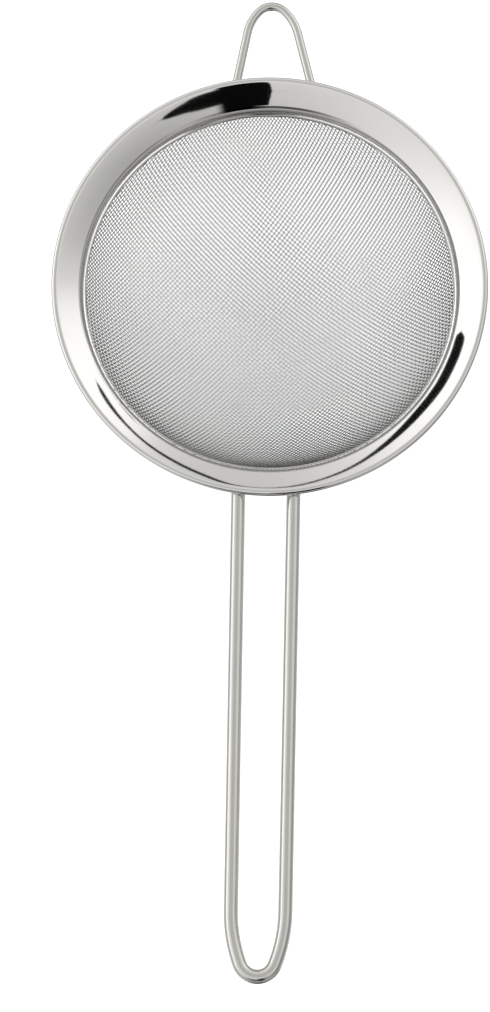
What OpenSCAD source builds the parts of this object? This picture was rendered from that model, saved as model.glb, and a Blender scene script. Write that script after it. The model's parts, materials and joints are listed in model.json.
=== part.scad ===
// Tea strainer: a round bowl of wire cloth under a flared rim, with a bent-wire handle
// and a small bent-wire rest on the far side. It lies on a flat surface, on its bowl and
// the end of its handle. The handle points along -Y and the rest along +Y.

/* [Rim] */
// Outside diameter of the rim, over its rolled edge
rim_d = 80; // [79.4:0.2:80.6]
// Diameter of the rolled edge
bead_d = 1.4; // [1.2:0.05:1.5]
// Thickness of the rim's sheet
sheet_t = 0.4; // [0.3:0.05:0.45]
// Radial width of the rim, from its outside to the neck's inner wall
flange_w = 5.7; // [5.5:0.02:6.5]
// Slope of the flange, in degrees
flange_slope = 33; // [31:0.1:35]
// Radius of the bend from the flange down to the neck, on its top face
neck_bend_r = 2.1; // [1.8:0.1:2.3]
// Height of the neck's straight wall, below the bend
neck_h = 1.4; // [1.2:0.1:2]

/* [Clamp ring and wire cloth] */
// Thickness of the clamp ring
ring_t = 0.27; // [0.22:0.01:0.3]
// Height of the clamp ring
ring_h = 0.6; // [0.5:0.05:0.9]
// How far the clamp ring's top stands above the neck's straight wall
ring_rise = 0; // [-0.1:0.02:0.2]
// Thickness of the cloth where it is pressed between the ring and the neck
skirt_t = 0.24; // [0.2:0.01:0.28]
// Thickness of the cloth in the bowl, two wires deep
cloth_t = 0.36; // [0.3:0.02:0.42]
// Radius of the bowl, at the middle of the cloth
bowl_r = 36.75; // [36.25:0.05:37.25]

/* [Handle] */
// Diameter of the handle's wire
handle_wire_d = 2.5; // [2:0.1:2.8]
// Spacing of the two legs, centre to centre
handle_w = 10; // [9:0.5:12]
// Distance from the rim's centre to the handle's outer end
handle_reach = 127.8; // [110:0.1:150]
// Radius of the handle's nose, at the wire's centre
handle_nose_r = 3.3; // [2.8:0.1:3.6]
// Radius of the handle's shoulders, at the wire's centre
handle_shoulder_r = 27; // [20:0.5:34]
// How far each leg leans in towards the end, in degrees
handle_taper = 0.15; // [0:0.05:0.3]

/* [Rest] */
// Diameter of the rest's wire
rest_wire_d = 1.6; // [1.4:0.1:1.8]
// Spacing of the rest's legs at the rim's outer edge, centre to centre
rest_w = 13.3; // [12:0.1:15]
// Distance from the rim's centre to the rest's outer end
rest_reach = 55.4; // [53.5:0.1:58]
// How far each leg leans in towards the end, in degrees
rest_taper = 12.5; // [10:0.5:14]
// Radius of the rest's nose, at the wire's centre
rest_nose_r = 3.3; // [3:0.1:3.6]
// Radius of the rest's shoulders, at the wire's centre
rest_shoulder_r = 9; // [8:0.2:11]
// How far the whole rest leans to one side, in degrees
rest_lean = 2.2; // [-3:0.1:3]

/* [Wire ends] */
// Radius of the bend where a wire dips under the flange, at its centre
tuck_bend_r = 4; // [3:0.5:5]
// Distance from the rim's centre to the wires' welded ends
tuck_r = 36.4; // [36:0.1:36.8]
// Gap between a wire and the sheet above it
wire_gap = 0.03; // [0.02:0.01:0.05]
// How far a weld stands out around its wire
weld_extra = 0.3; // [0.2:0.02:0.34]

/* [Hidden] */
$fn = 96;
steel = [0.78, 0.77, 0.75];
wire_steel = [0.72, 0.71, 0.68];
cloth_steel = [0.6, 0.6, 0.6];
weld_steel = [0.5, 0.49, 0.47];
up = [0, 0, 1];

// Rim section, with height 0 at the middle of the rolled edge
bead_r = bead_d / 2;
curl_r = bead_r - sheet_t;
bead_at = rim_d / 2 - bead_r;
neck_r = rim_d / 2 - flange_w;
bend_at = neck_r + neck_bend_r;
bend_z = (bead_r - neck_bend_r - (bead_at - bend_at) * sin(flange_slope)) / cos(flange_slope);
curl_start = 90 + flange_slope;
curl_end = curl_start - 262;
bend_steps = 14;
curl_steps = 36;

// Clamp ring and bowl
ring_top = bend_z + ring_rise;
ring_bottom = ring_top - ring_h;
ring_r = neck_r - skirt_t;
cloth_top = ring_bottom - 0.05;
bowl_edge_r = ring_r - 0.07;
bowl_z = cloth_top + sqrt(bowl_r * bowl_r - bowl_edge_r * bowl_edge_r);
bowl_out_r = bowl_r + cloth_t / 2;

// Wires: each entry of a loop is [half the leg spacing, distance where that is measured,
// tip, taper, nose radius, shoulder radius, wire radius], all at the wire's centre
handle_wr = handle_wire_d / 2;
rest_wr = rest_wire_d / 2;
rest_base = rim_d / 2 + 0.5;
handle_shape = [handle_w / 2, rim_d / 2, handle_reach - handle_wr, handle_taper,
                handle_nose_r, handle_shoulder_r, handle_wr];
rest_shape = [rest_w / 2, rest_base, rest_reach - rest_wr, rest_taper,
              rest_nose_r, rest_shoulder_r, rest_wr];
wire_sides = 24;
arc_step = 6;

// Resting pose: the bowl and the handle's end touch one flat surface
handle_tip = handle_reach - handle_wr;
handle_z = wire_z(handle_wr);
rest_z = wire_z(rest_wr);
lift = bowl_z - handle_z;
tilt = asin((bowl_out_r - handle_wr) / norm([handle_tip, lift])) - atan2(lift, handle_tip);
y_low = -handle_tip * cos(tilt) - handle_z * sin(tilt) - handle_wr;
y_high = (rest_reach - rest_wr) * cos(tilt) - rest_z * sin(tilt) + rest_wr;

module pose() {
  translate([0, -(y_low + y_high) / 2, bowl_out_r - bowl_z * cos(tilt)])
    rotate([tilt, 0, 0])
      children();
}

// Points along part of a circle
function arc(centre, r, from, to, steps) =
  [for (i = [0:steps])
    let (a = from + (to - from) * i / steps)
    centre + r * [cos(a), sin(a)]];

// Outline of the rim: neck, bend, flange and an edge rolled out, down and under
function rim_outline() =
  concat(
    [[neck_r, bend_z - neck_h]],
    arc([bend_at, bend_z], neck_bend_r, 180, curl_start, bend_steps),
    arc([bead_at, 0], bead_r, curl_start, curl_end, curl_steps),
    arc([bead_at, 0], curl_r, curl_end, curl_start, curl_steps),
    arc([bend_at, bend_z], neck_bend_r - sheet_t, curl_start, 180, bend_steps),
    [[neck_r + sheet_t, bend_z - neck_h]]
  );

module rim_solid() {
  rotate_extrude()
    polygon(rim_outline());
}

// Stamped rim: rolled edge, sloping flange and a short upright neck
module rim_flange() {
  color(steel)
    pose()
      rim_solid();
}

// Thin hoop that traps the edge of the cloth against the neck
module inner_clamp_ring() {
  color(steel)
    pose()
      rotate_extrude() {
        translate([ring_r - ring_t, ring_bottom])
          square([ring_t, ring_h - ring_t / 2]);
        translate([ring_r - ring_t / 2, ring_top - ring_t / 2])
          circle(d = ring_t);
      }
}

// Bowl of woven wire cloth, as a thin shell with an upright edge
module mesh_bowl() {
  overlap = 0.01;
  color(cloth_steel)
    pose()
      rotate_extrude() {
        intersection() {
          translate([0, bowl_z])
            difference() {
              circle(r = bowl_out_r);
              circle(r = bowl_out_r - cloth_t);
            }
          translate([0, cloth_top - rim_d])
            square([rim_d, rim_d]);
        }
        translate([ring_r, cloth_top - overlap])
          square([skirt_t, ring_top - ring_t - cloth_top]);
      }
}

// Height of a wire's centre outside the rim, just under the rolled edge
function wire_z(wire_r) = -(bead_r + wire_r + wire_gap);

// Where a wire's level line meets the line that runs along under the flange
function tuck_meet(wire_r) =
  let (drop = (wire_r + wire_gap - curl_r) / cos(flange_slope))
  bead_at + (wire_z(wire_r) + drop) / tan(flange_slope);

// Distance from the rim's centre to the start of the bend under the flange
function tuck_start(wire_r) = tuck_meet(wire_r) + tuck_bend_r * tan(flange_slope / 2);

// Length of the straight stretch under the flange, up to the welded end
function tuck_length(wire_r) =
  (tuck_meet(wire_r) - tuck_r) / cos(flange_slope) - tuck_bend_r * tan(flange_slope / 2);

// Heading of the right-hand leg, from the tip back to the rim
function leg_heading(s) = [sin(s[3]), -cos(s[3]), 0];

// Point on the right-hand leg where the bend under the flange starts
function leg_end(s) =
  let (start_r = tuck_start(s[6]),
       near_x = s[0] - (start_r - s[1]) * tan(s[3]),
       y = sqrt(start_r * start_r - near_x * near_x))
  [s[0] - (y - s[1]) * tan(s[3]), y, wire_z(s[6])];

// Heading at which the nose's arc hands over to the shoulder's
function nose_turn(s) =
  s[3] + acos((s[5] - s[0] * cos(s[3]) + (s[2] - s[4] - s[1]) * sin(s[3])) / (s[5] - s[4]));

// Stations along an arc in the loop's plane, each with its place and its heading
function arc_stations(centre, r, z, from, to) =
  let (steps = ceil((from - to) / arc_step))
  [for (i = [0:steps])
    let (a = from - (from - to) * i / steps)
    [[centre[0] + r * cos(a), centre[1] + r * sin(a), z], [sin(a), -cos(a), 0]]];

// Stations along a leg's end, which bends down and runs on under the flange
function tuck_stations(s) =
  let (start = leg_end(s),
       heading = leg_heading(s),
       steps = ceil(flange_slope / arc_step),
       bend = [for (i = [0:steps])
                let (a = flange_slope * i / steps)
                [start + tuck_bend_r * (sin(a) * heading - (1 - cos(a)) * up),
                 cos(a) * heading - sin(a) * up]],
       last = bend[steps])
  concat(bend, [[last[0] + tuck_length(s[6]) * last[1], last[1]]]);

// Right-hand half of a loop, from the middle of its nose to its welded end
function half_stations(s) =
  let (z = wire_z(s[6]),
       turn = nose_turn(s),
       nose = [0, s[2] - s[4]],
       shoulder = nose - (s[5] - s[4]) * [cos(turn), sin(turn)],
       round_shoulder = arc_stations(shoulder, s[5], z, turn, s[3]))
  concat(arc_stations(nose, s[4], z, 90, turn),
         [for (i = [1:len(round_shoulder) - 1]) round_shoulder[i]],
         tuck_stations(s));

// The same half on the left, walked from its welded end to the nose
function left_half(half) =
  [for (i = [len(half) - 1:-1:1])
    [[-half[i][0][0], half[i][0][1], half[i][0][2]],
     [half[i][1][0], -half[i][1][1], -half[i][1][2]]]];

// The same station in a loop that leans to one side, away from its base
function leaned(station, base, lean) =
  let (p = station[0],
       h = station[1],
       turned = [h[0] - tan(lean) * h[1], h[1], h[2]])
  [[p[0] - tan(lean) * (p[1] - base), p[1], p[2]], turned / norm(turned)];

// Whole loop in a flat plane, pointing along +Y, with both ends tucked under the flange
function loop_stations(s, lean) =
  let (half = half_stations(s))
  [for (station = concat(left_half(half), half)) leaned(station, s[1], lean)];

// The two loops; the first and the last station of each are its welded ends
handle_stations = loop_stations(handle_shape, 0);
rest_stations = loop_stations(rest_shape, rest_lean);

// Round wire swept along its stations
module wire_sweep(stations, wire_r) {
  rings = len(stations);
  points = [for (s = stations)
             let (side = cross(s[1], up) / norm(cross(s[1], up)),
                  over = cross(side, s[1]))
             for (k = [0:wire_sides - 1])
               let (a = 360 * k / wire_sides)
               s[0] + wire_r * (cos(a) * side + sin(a) * over)];
  walls = [for (i = [0:rings - 2], k = [0:wire_sides - 1])
            let (n = (k + 1) % wire_sides, here = i * wire_sides, there = here + wire_sides)
            [here + k, here + n, there + n, there + k]];
  start_cap = [for (k = [wire_sides - 1:-1:0]) k];
  end_cap = [for (k = [0:wire_sides - 1]) (rings - 1) * wire_sides + k];
  polyhedron(points, concat(walls, [start_cap, end_cap]), convexity = 6);
}

// Long handle: one wire bent into a narrow loop
module handle_loop() {
  color(wire_steel)
    pose()
      rotate([0, 0, 180])
        wire_sweep(handle_stations, handle_wr);
}

// Small loop of thinner wire that rests on the far side of a cup
module rest_loop() {
  color(wire_steel)
    pose()
      wire_sweep(rest_stations, rest_wr);
}

// Ball of weld metal around a wire's end, without the wire, which arrives along a heading
module weld_ball(place, heading, wire_r) {
  translate(place)
    rotate([0, acos(heading[2]), atan2(heading[1], heading[0])])
      difference() {
        sphere(r = wire_r + weld_extra);
        translate([0, 0, -3 * wire_r])
          cylinder(r = wire_r, h = 3 * wire_r);
      }
}

// Welds at a loop's first end and at its last
module first_weld(stations, wire_r) {
  end = stations[0];
  weld_ball(end[0], -end[1], wire_r);
}

module last_weld(stations, wire_r) {
  end = stations[len(stations) - 1];
  weld_ball(end[0], end[1], wire_r);
}

// Weld metal cut to the underside of the rim
module on_the_rim() {
  color(weld_steel)
    pose()
      difference() {
        children();
        rim_solid();
      }
}

module handle_weld_left() {
  on_the_rim()
    rotate([0, 0, 180])
      last_weld(handle_stations, handle_wr);
}

module handle_weld_right() {
  on_the_rim()
    rotate([0, 0, 180])
      first_weld(handle_stations, handle_wr);
}

module rest_weld_left() {
  on_the_rim()
    first_weld(rest_stations, rest_wr);
}

module rest_weld_right() {
  on_the_rim()
    last_weld(rest_stations, rest_wr);
}

rim_flange();
inner_clamp_ring();
mesh_bowl();
handle_loop();
rest_loop();
handle_weld_left();
handle_weld_right();
rest_weld_left();
rest_weld_right();
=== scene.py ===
import json
from collections import namedtuple
from math import acos, asin, atan2, ceil, cos, pi, radians, sin, sqrt, tan

import bpy
import numpy as np
from mathutils import Matrix, Vector


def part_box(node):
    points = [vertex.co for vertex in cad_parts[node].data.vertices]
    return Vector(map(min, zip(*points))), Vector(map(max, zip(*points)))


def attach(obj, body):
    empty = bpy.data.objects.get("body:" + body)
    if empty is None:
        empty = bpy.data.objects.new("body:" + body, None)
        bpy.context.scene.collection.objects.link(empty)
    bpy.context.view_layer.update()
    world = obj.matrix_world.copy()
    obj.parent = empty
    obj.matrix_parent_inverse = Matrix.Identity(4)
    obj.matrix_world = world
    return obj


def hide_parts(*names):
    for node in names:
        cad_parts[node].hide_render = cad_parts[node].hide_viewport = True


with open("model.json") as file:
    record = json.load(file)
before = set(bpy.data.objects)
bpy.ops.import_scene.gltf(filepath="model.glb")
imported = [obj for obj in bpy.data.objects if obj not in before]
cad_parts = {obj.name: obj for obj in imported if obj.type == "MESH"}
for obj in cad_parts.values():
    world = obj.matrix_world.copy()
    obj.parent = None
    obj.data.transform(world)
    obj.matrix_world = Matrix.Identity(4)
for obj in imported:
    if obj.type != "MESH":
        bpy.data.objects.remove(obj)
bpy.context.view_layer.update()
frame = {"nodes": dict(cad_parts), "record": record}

MM = 0.001

# Rim, in metres, as the CAD draws it
RIM_R = 40 * MM
BEAD_R = 0.7 * MM
SHEET_T = 0.4 * MM
FLANGE_W = 5.7 * MM
FLANGE_SLOPE = radians(33)
FLANGE_CROWN = 0.03 * MM
NECK_BEND_R = 2.1 * MM
NECK_H = 1.4 * MM
CURL_TURN = radians(262)

# Clamp ring and wire cloth
RING_T = 0.27 * MM
RING_H = 0.6 * MM
SKIRT_T = 0.24 * MM
BOWL_R = 36.75 * MM
CLOTH_PITCH = 0.7 * MM
CLOTH_WIRE_R = 0.085 * MM
CLOTH_CRIMP = 0.092 * MM
CLOTH_ANGLE = radians(51)

# Wires of the handle and the rest, at the wire's centre
WIRE_GAP = 0.03 * MM
TUCK_BEND_R = 4 * MM
TUCK_R = 36.4 * MM
REST_BASE = RIM_R + 0.5 * MM
REST_LEAN = radians(2.2)
Loop = namedtuple("Loop", "half_w base tip taper nose_r shoulder_r wire_r")
HANDLE = Loop(5 * MM, RIM_R, 126.55 * MM, radians(0.15), 3.3 * MM, 27 * MM, 1.25 * MM)
REST = Loop(6.65 * MM, REST_BASE, 54.6 * MM, radians(12.5), 3.3 * MM, 9 * MM, 0.8 * MM)

# Rim section, with height 0 at the middle of the rolled edge
BEAD_AT = RIM_R - BEAD_R
CURL_R = BEAD_R - SHEET_T
NECK_R = RIM_R - FLANGE_W
BEND_AT = NECK_R + NECK_BEND_R
BEND_Z = (BEAD_R - NECK_BEND_R - (BEAD_AT - BEND_AT) * sin(FLANGE_SLOPE)) / cos(FLANGE_SLOPE)
RING_BOTTOM = BEND_Z - RING_H
RING_R = NECK_R - SKIRT_T
CLOTH_TOP = RING_BOTTOM - 0.05 * MM
BOWL_EDGE_R = RING_R - 0.07 * MM
BOWL_Z = CLOTH_TOP + sqrt(BOWL_R ** 2 - BOWL_EDGE_R ** 2)

# Studio light by height, as the steel mirrors it
SKY_HIGH = 0.8
SKY_TOP = 0.55
SKY_LOW = 0.42

# Resting pose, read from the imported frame: the rim's plane is tipped towards the handle
SEAT_AXIS = next(m["axis"] for m in frame["record"]["mounts"] if m["name"] == "cup_seat")
TILT = atan2(SEAT_AXIS[1], -SEAT_AXIS[2])
RIM_LOW, RIM_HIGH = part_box("rim_flange")
RIM_CENTRE = Vector((0, (RIM_LOW.y + RIM_HIGH.y) / 2, RIM_HIGH.z - BEAD_AT * sin(TILT) - BEAD_R))
POSE = Matrix.Translation(RIM_CENTRE) @ Matrix.Rotation(TILT, 4, "X")


# ---------------------------------------------------------------- mesh helpers

def posed(points, matrix=POSE):
    """Points of the rim's own frame, carried into the row frame."""
    turn = np.array(matrix.to_3x3())
    return np.asarray(points) @ turn.T + np.array(matrix.translation)


def add_piece(name, points, faces, material, slot, *nodes):
    """A smooth mesh in the row frame that rides on the strainer and stands for CAD nodes."""
    mesh = bpy.data.meshes.new(name)
    mesh.from_pydata([tuple(p) for p in points], [], faces)
    mesh.polygons.foreach_set("use_smooth", [True] * len(mesh.polygons))
    mesh.set_sharp_from_angle(angle=radians(50))
    mesh.materials.append(material)
    mesh.update()
    piece = bpy.data.objects.new(name, mesh)
    bpy.context.scene.collection.objects.link(piece)
    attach(piece, "root")
    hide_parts(*nodes)
    return piece


def tube(centres, sides_dir, normals, radius, sides):
    """Points and faces of a round wire along its centres, closed at both ends."""
    angles = 2 * pi * np.arange(sides) / sides
    across = np.cos(angles)[None, :, None] * sides_dir[:, None, :]
    over = np.sin(angles)[None, :, None] * normals[:, None, :]
    points = (centres[:, None, :] + radius * (across + over)).reshape(-1, 3)
    rings = np.arange(len(centres) - 1)[:, None] * sides
    k = np.arange(sides)[None, :]
    n = (k + 1) % sides
    walls = np.stack([rings + k, rings + k + sides, rings + n + sides, rings + n], -1)
    last = (len(centres) - 1) * sides
    caps = [list(range(sides)), list(range(last + sides - 1, last - 1, -1))]
    return points, walls.reshape(-1, 4).tolist() + caps


def arc(centre, r, start, end, steps):
    """Points along part of a circle in the rim's section, as radius and height."""
    turns = np.linspace(start, end, steps + 1)
    return [(centre[0] + r * cos(a), centre[1] + r * sin(a)) for a in turns]


# ---------------------------------------------------------------- rim and clamp ring

def crowned(start, end, steps, crown):
    """Points of a slightly domed line between two corners of a section, without the corners."""
    start, end = np.array(start), np.array(end)
    along = end - start
    out = np.array([-along[1], along[0]]) / np.linalg.norm(along)
    if out[1] < 0:
        out = -out
    shares = np.linspace(0, 1, steps + 1)[1:-1]
    return [tuple(start + t * along + 4 * crown * t * (1 - t) * out) for t in shares]


def rim_outline():
    """Neck, bend, flange and an edge rolled out, down and under, and back along the inside."""
    bend = (BEND_AT, BEND_Z)
    bead = (BEAD_AT, 0)
    curl_start = pi / 2 + FLANGE_SLOPE
    curl_end = curl_start - CURL_TURN
    top = arc(bend, NECK_BEND_R, pi, curl_start, 16)
    bead_skin = arc(bead, BEAD_R, curl_start, curl_end, 32)
    curl = arc(bead, CURL_R, curl_end, curl_start, 16)
    under = arc(bend, NECK_BEND_R - SHEET_T, curl_start, pi, 10)
    foot = BEND_Z - NECK_H
    return ([(NECK_R, foot)] + top + crowned(top[-1], bead_skin[0], 14, FLANGE_CROWN) + bead_skin
            + curl + crowned(curl[-1], under[0], 14, FLANGE_CROWN) + under
            + [(NECK_R + SHEET_T, foot)])


def revolved(outline, around):
    """Points and faces of a section turned about the rim's axis."""
    outline = np.array(outline)
    count = len(outline)
    turns = 2 * pi * np.arange(around) / around
    points = np.stack([np.sin(turns)[:, None] * outline[None, :, 0],
                       np.cos(turns)[:, None] * outline[None, :, 0],
                       np.tile(outline[:, 1], (around, 1))], -1).reshape(-1, 3)
    here = np.arange(around)[:, None] * count
    there = (np.arange(around)[:, None] + 1) % around * count
    i = np.arange(count)[None, :]
    j = (i + 1) % count
    faces = np.stack([here + i, there + i, there + j, here + j], -1)
    return points, faces.reshape(-1, 4).tolist()


def ring_outline():
    """Thin upright hoop with a rounded top edge, walked the same way round as the rim's outline."""
    middle = RING_R - RING_T / 2
    crown = arc((middle, BEND_Z - RING_T / 2), RING_T / 2, 0, pi, 12)
    foot = arc((middle, RING_BOTTOM + 0.03 * MM), RING_T / 2, pi, 2 * pi, 8)
    low = [(r, max(z, RING_BOTTOM)) for r, z in foot]
    return (crown + low)[::-1]


# ---------------------------------------------------------------- handle and rest

def wire_z(wire_r):
    """Height of a wire's centre outside the rim, just under the rolled edge."""
    return -(BEAD_R + wire_r + WIRE_GAP)


def arc_stations(centre, r, z, start, end, step):
    """Places and headings along an arc in the loop's plane."""
    turns = np.linspace(start, end, ceil(abs(end - start) / step) + 1)
    return [((centre[0] + r * cos(a), centre[1] + r * sin(a), z), (sin(a), -cos(a), 0))
            for a in turns]


def tuck_stations(loop):
    """The leg's end, which bends down and runs on under the flange to its weld."""
    z = wire_z(loop.wire_r)
    drop = (loop.wire_r + WIRE_GAP - CURL_R) / cos(FLANGE_SLOPE)
    meet = BEAD_AT + (z + drop) / tan(FLANGE_SLOPE)
    start_r = meet + TUCK_BEND_R * tan(FLANGE_SLOPE / 2)
    near_x = loop.half_w - (start_r - loop.base) * tan(loop.taper)
    y = sqrt(start_r ** 2 - near_x ** 2)
    start = np.array([loop.half_w - (y - loop.base) * tan(loop.taper), y, z])
    heading = np.array([sin(loop.taper), -cos(loop.taper), 0])
    up = np.array([0, 0, 1.0])
    bend = [(start + TUCK_BEND_R * (sin(a) * heading - (1 - cos(a)) * up),
             cos(a) * heading - sin(a) * up)
            for a in np.linspace(0, FLANGE_SLOPE, 12)]
    length = (meet - TUCK_R) / cos(FLANGE_SLOPE) - TUCK_BEND_R * tan(FLANGE_SLOPE / 2)
    place, heading = bend[-1]
    return bend + [(place + length * heading, heading)]


def half_stations(loop):
    """Right-hand half of a loop, from the middle of its nose to its welded end."""
    z = wire_z(loop.wire_r)
    reach = loop.tip - loop.nose_r - loop.base
    turn = loop.taper + acos((loop.shoulder_r - loop.half_w * cos(loop.taper)
                              + reach * sin(loop.taper)) / (loop.shoulder_r - loop.nose_r))
    nose = (0, loop.tip - loop.nose_r)
    gap = loop.shoulder_r - loop.nose_r
    shoulder = (nose[0] - gap * cos(turn), nose[1] - gap * sin(turn))
    step = radians(2)
    return (arc_stations(nose, loop.nose_r, z, pi / 2, turn, 2 * step)
            + arc_stations(shoulder, loop.shoulder_r, z, turn, loop.taper, step)[1:]
            + tuck_stations(loop))


def bent_wire(loop, lean, matrix):
    """Points and faces of a loop that leans from its base, along +Y before the matrix turns it."""
    half = half_stations(loop)
    flip_place = np.array([-1, 1, 1])
    flip_heading = np.array([1, -1, -1])
    left = [(flip_place * np.array(p), flip_heading * np.array(h)) for p, h in half[:0:-1]]
    centres = np.array([p for p, h in left + half], float)
    headings = np.array([h for p, h in left + half], float)
    centres[:, 0] -= tan(lean) * (centres[:, 1] - loop.base)
    headings[:, 0] -= tan(lean) * headings[:, 1]
    headings /= np.linalg.norm(headings, axis=1)[:, None]
    sides_dir = np.cross(headings, (0, 0, 1.0))
    sides_dir /= np.linalg.norm(sides_dir, axis=1)[:, None]
    points, faces = tube(centres, sides_dir, np.cross(sides_dir, headings), loop.wire_r, 32)
    return posed(points, POSE @ matrix), faces


# ---------------------------------------------------------------- woven wire cloth

def quarter_net(cells, step):
    """A quarter of a square net whose cells keep their side length as it drapes a unit ball."""
    net = np.full((cells + 1, cells + 1, 3), np.nan)
    for i in range(cells + 1):
        net[i, 0] = (sin(i * step), 0, -cos(i * step))
        net[0, i] = (0, sin(i * step), -cos(i * step))
    for i in range(1, cells + 1):
        for j in range(1, cells + 1):
            middle = net[i - 1, j] + net[i, j - 1]
            corner = net[i - 1, j - 1]
            if np.isnan(middle[0] + corner[0]):
                continue
            node = 2 * middle * (middle @ corner) / (middle @ middle) - corner
            if node[2] < net_top():
                net[i, j] = node
    return net


def net_top():
    """Height on the unit ball above which no node of the net is needed."""
    return (CLOTH_TOP - BOWL_Z) / BOWL_R + 3 * CLOTH_PITCH / BOWL_R


def whole_net(cells, step):
    """The net on all four sides of the bowl's lowest point, turned to the cloth's angle."""
    quarter = quarter_net(cells, step)
    net = np.full((2 * cells + 1, 2 * cells + 1, 3), np.nan)
    for side_x in (1, -1):
        for side_y in (1, -1):
            part = quarter * np.array([side_x, side_y, 1])
            net[cells::side_x, cells::side_y] = part
    turn = np.array(Matrix.Rotation(CLOTH_ANGLE, 3, "Z"))
    return net @ turn.T


def cloth_wire(nodes, phase):
    """Centres and radial directions of one wire of the cloth, over and under by turns."""
    known = np.flatnonzero(~np.isnan(nodes[:, 0]))
    nodes = nodes[known]
    if len(nodes) < 3:
        return None
    halves = (nodes[:-1] + nodes[1:]) / 2
    out = np.empty((2 * len(nodes) - 1, 3))
    out[0::2] = nodes
    out[1::2] = halves
    out /= np.linalg.norm(out, axis=1)[:, None]
    height = np.zeros(len(out))
    height[0::2] = np.where((known + phase) % 2, 1, -1) * CLOTH_CRIMP
    centres = out * (BOWL_R + height)[:, None] + (0, 0, BOWL_Z)
    inside = np.flatnonzero(centres[:, 2] <= CLOTH_TOP)
    if len(inside) < 3:
        return None
    first, last = inside[0], inside[-1]
    ends = []
    for here, there in ((first, first - 1), (last, last + 1)):
        share = (CLOTH_TOP - centres[here, 2]) / (centres[there, 2] - centres[here, 2])
        ends.append((centres[here] + share * (centres[there] - centres[here]),
                     out[here] + share * (out[there] - out[here])))
    centres = np.vstack([ends[0][0], centres[first:last + 1], ends[1][0]])
    out = np.vstack([ends[0][1], out[first:last + 1], ends[1][1]])
    return centres, out


def add_cloth(material):
    """The bowl's cloth: two sets of crimped wires that pass over and under each other."""
    step = CLOTH_PITCH / BOWL_R
    cells = ceil(1.3 * BOWL_R / CLOTH_PITCH)
    net = whole_net(cells, step)
    for name, grid in (("warp", net), ("weft", net.transpose(1, 0, 2))):
        wires = [cloth_wire(grid[i], i + (name == "weft")) for i in range(len(grid))]
        wires = [w for w in wires if w is not None]
        middle = len(wires) // 2
        for part, group in (("left", wires[:middle]), ("right", wires[middle:])):
            points, faces, count = [], [], 0
            for centres, out in group:
                heading = np.gradient(centres, axis=0)
                side = np.cross(heading, out)
                side /= np.linalg.norm(side, axis=1)[:, None]
                over = np.cross(side, heading)
                over /= np.linalg.norm(over, axis=1)[:, None]
                wire_points, wire_faces = tube(centres, side, over, CLOTH_WIRE_R, 6)
                points.append(wire_points)
                faces += [[k + count for k in face] for face in wire_faces]
                count += len(wire_points)
            add_piece(f"cloth_{name}_{part}", posed(np.vstack(points)), faces,
                      material, "wire_cloth", "mesh_bowl")


# ---------------------------------------------------------------- materials

def node_tree(name):
    """A new material with its shader, and short calls to add and join nodes."""
    material = bpy.data.materials.new(name)
    material.use_nodes = True
    tree = material.node_tree
    shader = tree.nodes["Principled BSDF"]

    def add(kind, **values):
        node = tree.nodes.new(kind)
        for key, value in values.items():
            if key in node.inputs:
                node.inputs[key].default_value = value
            else:
                setattr(node, key, value)
        return node

    return material, shader, add, tree.links.new


def steel(name, colour, worn, roughness, worn_roughness, grain, bump, edge=1.0):
    """Steel with a faint change of tone, uneven polish, a fine grain and darker grazing edges."""
    material, shader, add, join = node_tree(name)
    shader.inputs["Metallic"].default_value = 1.0
    shader.inputs["Specular Tint"].default_value = (edge, edge, edge, 1)
    place = add("ShaderNodeTexCoord").outputs["Object"]
    cloud = add("ShaderNodeTexNoise", Scale=120.0, Detail=5.0, Roughness=0.6)
    tone = add("ShaderNodeMix", data_type="RGBA")
    tone.inputs["A"].default_value = (*colour, 1)
    tone.inputs["B"].default_value = (*worn, 1)
    polish = add("ShaderNodeMapRange")
    polish.inputs["To Min"].default_value = roughness
    polish.inputs["To Max"].default_value = worn_roughness
    grain_map = add("ShaderNodeTexNoise", Scale=grain, Detail=3.0, Roughness=0.55)
    relief = add("ShaderNodeBump", Strength=bump, Distance=0.02 * MM)
    join(place, cloud.inputs["Vector"])
    join(place, grain_map.inputs["Vector"])
    join(cloud.outputs["Fac"], tone.inputs["Factor"])
    join(tone.outputs["Result"], shader.inputs["Base Color"])
    join(cloud.outputs["Fac"], polish.inputs["Value"])
    join(polish.outputs["Result"], shader.inputs["Roughness"])
    join(grain_map.outputs["Fac"], relief.inputs["Height"])
    join(relief.outputs["Normal"], shader.inputs["Normal"])
    return material


# ---------------------------------------------------------------- stage

def lit_table(name, colour, roughness, glow):
    """A plain pale material for the table, lit evenly from below as well."""
    material, shader, *_ = node_tree(name)
    shader.inputs["Base Color"].default_value = (*colour, 1)
    shader.inputs["Roughness"].default_value = roughness
    shader.inputs["Emission Color"].default_value = (1, 1, 1, 1)
    shader.inputs["Emission Strength"].default_value = glow
    return material


def panel(name, corners, material):
    """A flat stage panel from its corners."""
    mesh = bpy.data.meshes.new(name)
    mesh.from_pydata(corners, [], [list(range(len(corners)))])
    mesh.materials.append(material)
    board = bpy.data.objects.new(name, mesh)
    bpy.context.scene.collection.objects.link(board)
    return board


def add_table_light(name, azimuth, elevation, distance, width, power):
    """A large soft light for the table, which the steel doesn't mirror."""
    light = bpy.data.lights.new(name, "AREA")
    light.size = width
    light.energy = power
    lamp = bpy.data.objects.new(name, light)
    a, e = radians(azimuth), radians(elevation)
    away = Vector((cos(e) * sin(a), cos(e) * cos(a), sin(e)))
    lamp.location = RIM_CENTRE + distance * away
    lamp.rotation_euler = away.to_track_quat("Z", "Y").to_euler()
    lamp.visible_glossy = False
    bpy.context.scene.collection.objects.link(lamp)


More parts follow.
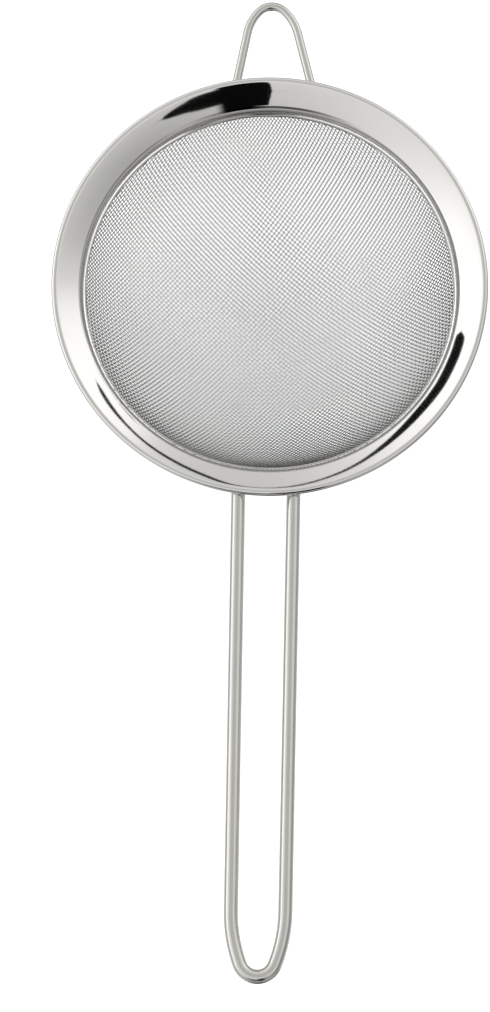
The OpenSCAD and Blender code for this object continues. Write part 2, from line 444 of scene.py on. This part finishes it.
def add_camera():
    """Camera above the handle side, looking down into the bowl."""
    distance = 700 * MM
    from_axis, yaw, roll = radians(13.92), radians(0.62), radians(-0.99)
    right_of_centre, above_centre = -4.53 * MM, -40.64 * MM
    across = Vector((cos(yaw), sin(from_axis) * sin(yaw), -cos(from_axis) * sin(yaw)))
    along = Vector((0, cos(from_axis), sin(from_axis)))
    back = Vector((sin(yaw), -sin(from_axis) * cos(yaw), cos(from_axis) * cos(yaw)))
    right = across * cos(roll) - along * sin(roll)
    up = across * sin(roll) + along * cos(roll)
    place = right_of_centre * right + above_centre * up + distance * back
    axes = Matrix((right, up, back)).transposed().to_4x4()
    data = bpy.data.cameras.new("camera")
    data.lens = 136.1
    data.clip_start = 0.01
    camera = bpy.data.objects.new("camera", data)
    camera.matrix_world = POSE @ Matrix.Translation(place) @ axes
    bpy.context.scene.collection.objects.link(camera)
    bpy.context.scene.camera = camera


def add_studio():
    """Soft white studio light by direction: a bright side, a dimmer side and a light overhead.

    A narrow dark gap runs behind the table and a dark upright shape stands in front of it,
    as the polished rim mirrors them.
    """
    world = bpy.data.worlds.new("studio")
    world.use_nodes = True
    tree = world.node_tree

    def link(value, socket):
        if isinstance(value, (int, float)):
            socket.default_value = value
        else:
            tree.links.new(value, socket)

    def calc(operation, first, second=0.0):
        node = tree.nodes.new("ShaderNodeMath")
        node.operation = operation
        link(first, node.inputs[0])
        link(second, node.inputs[1])
        return node.outputs[0]

    def ramp(value, low, high):
        node = tree.nodes.new("ShaderNodeMapRange")
        node.interpolation_type = "SMOOTHSTEP"
        link(value, node.inputs["Value"])
        node.inputs["From Min"].default_value = low
        node.inputs["From Max"].default_value = high
        return node.outputs["Result"]

    def curve(value, points, scale):
        """A curve through points of azimuth in degrees and value, up to the scale."""
        node = tree.nodes.new("ShaderNodeFloatCurve")
        line = node.mapping.curves[0]
        for azimuth, level in points[1:-1]:
            line.points.new(azimuth / 360 + 0.5, level / scale)
        for end, (azimuth, level) in ((0, points[0]), (-1, points[-1])):
            line.points[end].location = (azimuth / 360 + 0.5, level / scale)
        node.mapping.update()
        link(value, node.inputs["Value"])
        return calc("MULTIPLY", node.outputs[0], scale)

    def blend(low, high, share):
        return calc("ADD", calc("MULTIPLY", low, calc("SUBTRACT", 1.0, share)),
                    calc("MULTIPLY", high, share))

    place = tree.nodes.new("ShaderNodeTexCoord").outputs["Generated"]
    split = tree.nodes.new("ShaderNodeSeparateXYZ")
    tree.links.new(place, split.inputs[0])
    x, y, z = split.outputs
    azimuth = calc("MULTIPLY", calc("ARCTAN2", x, y), 180 / pi)
    turn = calc("ADD", calc("DIVIDE", azimuth, 360.0), 0.5)
    height = calc("MULTIPLY", calc("ARCSINE", z), 180 / pi)

    sides = curve(turn, [(-180, 0.62), (-150, 0.75), (-120, 0.95), (-95, 1.2), (-60, 1.3),
                         (-35, 1.1), (-12, 0.75), (5, 0.66), (22, 0.75), (42, 1.2), (60, 1.15),
                         (80, 0.72), (100, 0.5), (125, 0.44), (150, 0.5), (180, 0.62)], 2.0)
    light = blend(sides, SKY_HIGH, ramp(height, 28, 44))
    light = blend(light, SKY_TOP, ramp(height, 52, 68))
    front_low = calc("MULTIPLY", ramp(calc("ABSOLUTE", azimuth), 140, 172), ramp(height, 27, 21))
    light = blend(light, 0.08, front_low)
    right_low = calc("MULTIPLY", ramp(azimuth, 48, 68), ramp(azimuth, 150, 125))
    right_low = calc("MULTIPLY", right_low, ramp(height, 25, 14))
    light = calc("MULTIPLY", light, calc("SUBTRACT", 1.0, calc("MULTIPLY", right_low, 0.5)))
    light = blend(SKY_LOW, light, ramp(height, -6, 4))
    below = curve(turn, [(-180, 0.08), (-156, 0.4), (-142, 0.85), (-60, 1.1), (-35, 0.9),
                         (-18, 0.6), (10, 0.55), (24, 0.8), (45, 1.1), (94, 1), (108, 0.25),
                         (125, 0.42), (150, 0.35), (165, 0.05), (180, 0.08)], 2.0)
    light = blend(light, below, ramp(height, -22, -45))

    gap_at = curve(turn, [(-180, 25), (-65, 25.5), (-50, 24), (-32, 21.8), (-15, 22.6),
                          (5, 23.7), (14, 22.9), (30, 23.6), (45, 24.4), (180, 24)], 50.0)
    gap_half = curve(turn, [(-180, 0), (-64, 0), (-61, 1.7), (-45, 1.6), (-28, 1), (-18, 0.55),
                            (0, 0.35), (15, 0.6), (30, 0.5), (42, 0.7), (48, 0), (180, 0)], 5.0)
    off = calc("ABSOLUTE", calc("SUBTRACT", height, gap_at))
    gap = ramp(calc("SUBTRACT", gap_half, off), -0.1, 0.3)
    fork_half = curve(turn, [(-180, 0), (28, 0), (34, 0.4), (46, 0.8), (51, 0.6), (55, 0),
                             (180, 0)], 5.0)
    fork_off = calc("ABSOLUTE", calc("SUBTRACT", height, 20.6))
    gap = calc("MAXIMUM", gap, ramp(calc("SUBTRACT", fork_half, fork_off), -0.1, 0.4))

    drop_half = curve(turn, [(-180, 0), (139, 0), (142, 0.6), (150, 1.6), (155, 2.2), (164, 2.4),
                             (170, 6), (175, 6), (180, 0)], 10.0)
    drop_off = calc("ABSOLUTE", calc("SUBTRACT", height, 33.8))
    drop = ramp(calc("SUBTRACT", drop_half, drop_off), -0.2, 0.3)
    post = calc("MULTIPLY", ramp(azimuth, 159, 163), ramp(azimuth, 180, 172))
    post = calc("MULTIPLY", post, calc("MULTIPLY", ramp(height, 42, 39), ramp(height, -6, 1)))
    dark = calc("MAXIMUM", gap, calc("MAXIMUM", drop, post))
    light = calc("MULTIPLY", light, calc("SUBTRACT", 1.0, calc("MULTIPLY", dark, 0.995)))
    back = tree.nodes["Background"]
    back.inputs["Color"].default_value = (1, 1, 1, 1)
    tree.links.new(light, back.inputs["Strength"])
    bpy.context.scene.world = world


# ---------------------------------------------------------------- the strainer

add_camera()
polished = steel("polished_steel", (0.86, 0.852, 0.825), (0.83, 0.815, 0.785), 0.02, 0.05, 2500, 0.02)
clamp = steel("clamp_steel", (0.8, 0.79, 0.77), (0.7, 0.69, 0.66), 0.12, 0.25, 2500, 0.2)
cloth = steel("wire_cloth", (0.34, 0.335, 0.325), (0.22, 0.215, 0.205), 0.25, 0.4, 6000, 0.3,
              edge=0.3)
drawn = steel("wire_steel", (0.8, 0.79, 0.75), (0.72, 0.71, 0.67), 0.1, 0.22, 3000, 0.2,
              edge=0.45)
weld = steel("weld_steel", (0.56, 0.55, 0.52), (0.38, 0.36, 0.33), 0.3, 0.5, 4000, 0.5)

rim_points, rim_faces = revolved(rim_outline(), 640)
add_piece("rim", posed(rim_points), rim_faces, polished, "polished_steel", "rim_flange")
ring_points, ring_faces = revolved(ring_outline(), 360)
add_piece("clamp_ring", posed(ring_points), ring_faces, clamp, "clamp_steel", "inner_clamp_ring")

handle_points, handle_faces = bent_wire(HANDLE, 0, Matrix.Rotation(pi, 4, "Z"))
add_piece("handle", handle_points, handle_faces, drawn, "wire_steel", "handle_loop")
rest_points, rest_faces = bent_wire(REST, REST_LEAN, Matrix.Identity(4))
add_piece("rest", rest_points, rest_faces, drawn, "wire_steel", "rest_loop")
add_cloth(cloth)
for place in ("handle_weld_left", "handle_weld_right", "rest_weld_left", "rest_weld_right"):
    frame["nodes"][place].data.materials.clear()
    frame["nodes"][place].data.materials.append(weld)

FLOOR = 1.5
floor = panel("floor",
              [(-FLOOR, -FLOOR, 0), (FLOOR, -FLOOR, 0), (FLOOR, FLOOR, 0), (-FLOOR, FLOOR, 0)],
              lit_table("floor_white", (0.6, 0.6, 0.6), 0.9, 0.7))
floor.visible_glossy = False
add_studio()
add_table_light("table_back", -30, 60, 1.1, 0.6, 3)
add_table_light("table_front", 165, 35, 1.1, 0.6, 5)
bpy.context.scene.view_settings.view_transform = "Standard"
